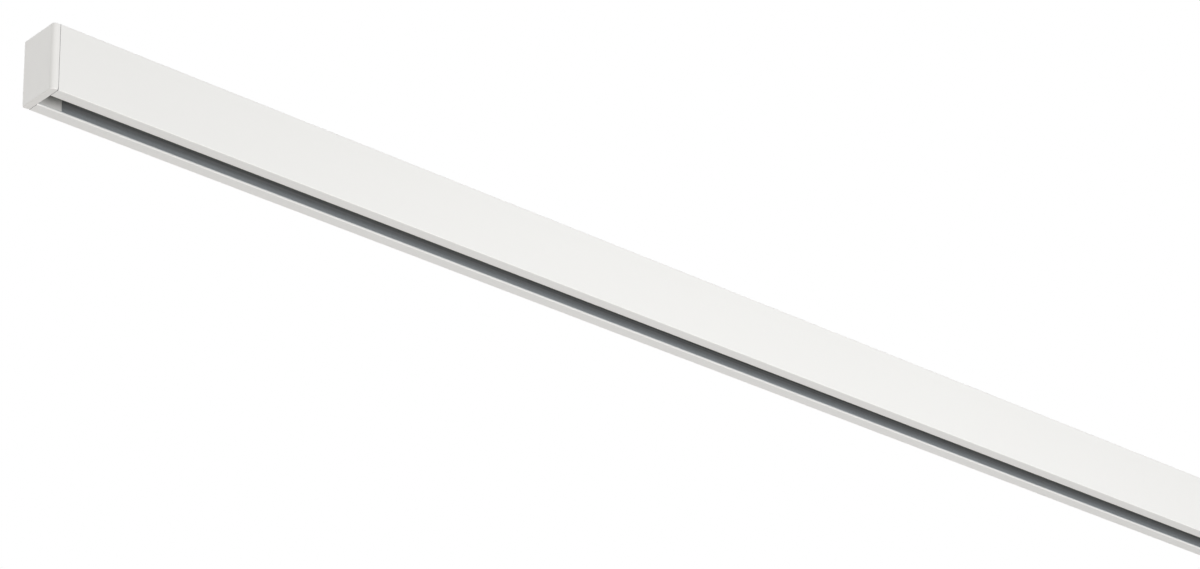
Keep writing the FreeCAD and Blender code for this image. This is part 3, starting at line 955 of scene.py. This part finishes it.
def build_runners(settings):
    """One runner's three pieces, copied to the place of each runner."""
    plastic, _ = moulded(
        "runner_plastic", "runner_plastic", settings.runner_colour, settings.runner_roughness,
        grain=0.0004,
    )
    rolling, _ = moulded(
        "wheel_plastic", "wheel_plastic", settings.wheel_colour, settings.wheel_roughness,
        grain=0.0003,
    )
    first = RUNNERS[0]
    x, _, axle = JOINTS[first + "_wheels_roll"]["pos_m"]
    body_box, wheels_box, eye_box = (
        from_pivot(first + part, (x, 0)) for part in ("_carriage", "_wheels", "_eye")
    )
    wheels_high = wheels_box[1]
    wheel_inner = wheels_high[1] - settings.wheel_width
    body = carriage(*body_box, axle, wheel_inner, settings)
    wheels = wheel_pair(wheels_high, axle, settings)
    eye = swivel_eye(*eye_box, settings)
    for runner in RUNNERS:
        shift = (JOINTS[runner + "_wheels_roll"]["pos_m"][0], 0, 0)
        for shell, name, part, finish in (
            (body, "_moulding", "_carriage", plastic),
            (wheels, "_rollers", "_wheels", rolling),
            (eye, "_swivel", "_eye", plastic),
        ):
            Shell().add(shell, shift).piece(runner + name, finish, runner + part, [runner + part])


def build_stage(settings):
    """The world, a wide floor below, the lamps, and the camera at the photograph's view."""
    scene = bpy.context.scene
    scene.view_settings.view_transform = "Standard"
    world = bpy.data.worlds.new("studio")
    world.use_nodes = True
    scene.world = world
    tree = Tree(world.node_tree)
    white, level = (1, 1, 1, 1), settings.world_level
    rays = tree.seen("Is Camera Ray", "Is Glossy Ray", "Is Transmission Ray")
    shown = tree.node("ShaderNodeBackground", {}, {"Color": white, "Strength": 1.0})
    around = tree.node("ShaderNodeBackground", {}, {"Color": white, "Strength": level})
    both = tree.node(
        "ShaderNodeMixShader", {}, {0: rays, 1: around.outputs[0], 2: shown.outputs[0]}
    )
    tree.node("ShaderNodeOutputWorld", {}, {"Surface": both.outputs[0]})

    half = settings.floor_size / 2
    corners = [(-half, -half), (half, -half), (half, half), (-half, half)]
    mesh = bpy.data.meshes.new("floor")
    mesh.from_pydata([(x, y, -settings.floor_drop) for x, y in corners], [], [(0, 1, 2, 3)])
    floor = in_scene("floor", mesh)
    material = bpy.data.materials.new("pale_floor")
    material.use_nodes = True
    tree = Tree(material.node_tree)
    matt = tree.node("ShaderNodeBsdfDiffuse", {}, {"Color": shade(settings.floor_colour)})
    glow = tree.node(
        "ShaderNodeEmission", {},
        {"Color": white, "Strength": tree.seen("Is Camera Ray") * settings.floor_glow},
    )
    lit = tree.node("ShaderNodeAddShader", {}, {0: matt.outputs[0], 1: glow.outputs[0]})
    # From below, the floor is clear, so that a view from under it shows the track
    clear = tree.node("ShaderNodeBsdfTransparent")
    below = tree.node("ShaderNodeNewGeometry").outputs["Backfacing"]
    mixed = tree.node(
        "ShaderNodeMixShader", {}, {0: below, 1: lit.outputs[0], 2: clear.outputs[0]}
    )
    tree.node("ShaderNodeOutputMaterial", {}, {"Surface": mixed.outputs[0]})
    mesh.materials.append(material)

    def lamp(name, place, target, size, power, colour=(1, 1, 1)):
        data = bpy.data.lights.new(name, "AREA")
        data.shape, data.size, data.size_y = "RECTANGLE", *size
        data.energy, data.color = power, colour
        obj = in_scene(name, data)
        obj.location = place
        obj.rotation_euler = (Vector(target) - Vector(place)).to_track_quat("-Z", "Y").to_euler()

    lamp("key", (-0.3, -0.8, -0.4), (-0.35, 0, 0), (0.6, 0.4), settings.key_power)
    lamp("fill", (0.6, -0.45, -0.28), (0.55, 0, 0), (0.5, 0.3), settings.fill_power)
    warm = (1.0, 0.99, 0.97)
    lamp("side", (-2.25, -0.95, -0.72), (-0.7, 0, 0), (1.0, 0.8), settings.side_power, warm)
    lamp("back", (0.1, 1.3, 0.8), (0, 0, 0), (4.5, 3.0), settings.back_power)
    for x in (-0.4, 0.4):
        lamp("rear", (x, 0.7, -0.02), (x, 0, -0.02), (0.7, 0.4), settings.rear_power)
    lamp("end", (1.3, 0, -0.1), (0.7, 0, -0.02), (0.5, 0.3), settings.end_power)

    data = bpy.data.cameras.new("camera")
    data.sensor_width, data.lens = 36.0, settings.lens
    data.clip_start, data.clip_end = 0.05, 100.0
    camera = in_scene("camera", data)
    camera.location = settings.camera_place
    camera.rotation_euler = settings.camera_turn
    scene.camera = camera


# Operators and the panel


class TRACK_OT_rail(bpy.types.Operator):
    """Builds the white extruded rail"""

    bl_idname = "track.rail"
    bl_label = "Rail"

    def execute(self, context):
        build_rail(context.scene.track_rail)
        return {"FINISHED"}


class TRACK_OT_end_caps(bpy.types.Operator):
    """Builds the moulded cap in each end of the rail"""

    bl_idname = "track.end_caps"
    bl_label = "End caps"

    def execute(self, context):
        build_end_caps(context.scene.track_caps, context.scene.track_rail)
        return {"FINISHED"}


class TRACK_OT_clips(bpy.types.Operator):
    """Builds the ceiling clips: their plates, levers and rivets"""

    bl_idname = "track.clips"
    bl_label = "Ceiling clips"

    def execute(self, context):
        build_clips(context.scene.track_clips)
        return {"FINISHED"}


class TRACK_OT_runners(bpy.types.Operator):
    """Builds the runners: their carriages, wheels and swivel eyes"""

    bl_idname = "track.runners"
    bl_label = "Runners"

    def execute(self, context):
        build_runners(context.scene.track_runners)
        return {"FINISHED"}


class TRACK_OT_stage(bpy.types.Operator):
    """Builds the world, the floor, the lamps and the camera"""

    bl_idname = "track.stage"
    bl_label = "Stage"

    def execute(self, context):
        build_stage(context.scene.track_stage)
        return {"FINISHED"}


class TRACK_PT_panel(bpy.types.Panel):
    """Lists the track's pieces and their settings"""

    bl_idname = "TRACK_PT_panel"
    bl_label = "Curtain track"
    bl_space_type = "VIEW_3D"
    bl_region_type = "UI"
    bl_category = "Track"

    def draw(self, context):
        for operator, name, _ in STEPS:
            box = self.layout.box()
            box.operator(operator.bl_idname)
            group = getattr(context.scene, name)
            for key in group.__annotations__:
                box.prop(group, key)


STEPS = (
    (TRACK_OT_rail, "track_rail", RailSettings),
    (TRACK_OT_end_caps, "track_caps", CapSettings),
    (TRACK_OT_clips, "track_clips", ClipSettings),
    (TRACK_OT_runners, "track_runners", RunnerSettings),
    (TRACK_OT_stage, "track_stage", StageSettings),
)
OPERATORS, GROUP_NAMES, GROUPS = zip(*STEPS)
CLASSES = (*GROUPS, *OPERATORS, TRACK_PT_panel)


def register():
    for each in CLASSES:
        bpy.utils.register_class(each)
    for name, group in zip(GROUP_NAMES, GROUPS):
        setattr(bpy.types.Scene, name, PointerProperty(type=group))


def unregister():
    for name in GROUP_NAMES:
        delattr(bpy.types.Scene, name)
    for each in reversed(CLASSES):
        bpy.utils.unregister_class(each)


def main():
    """Registers the classes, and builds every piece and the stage."""
    register()
    for operator in OPERATORS:
        group, name = operator.bl_idname.split(".")
        getattr(getattr(bpy.ops, group), name)()


if __name__ == "__main__":
    main()
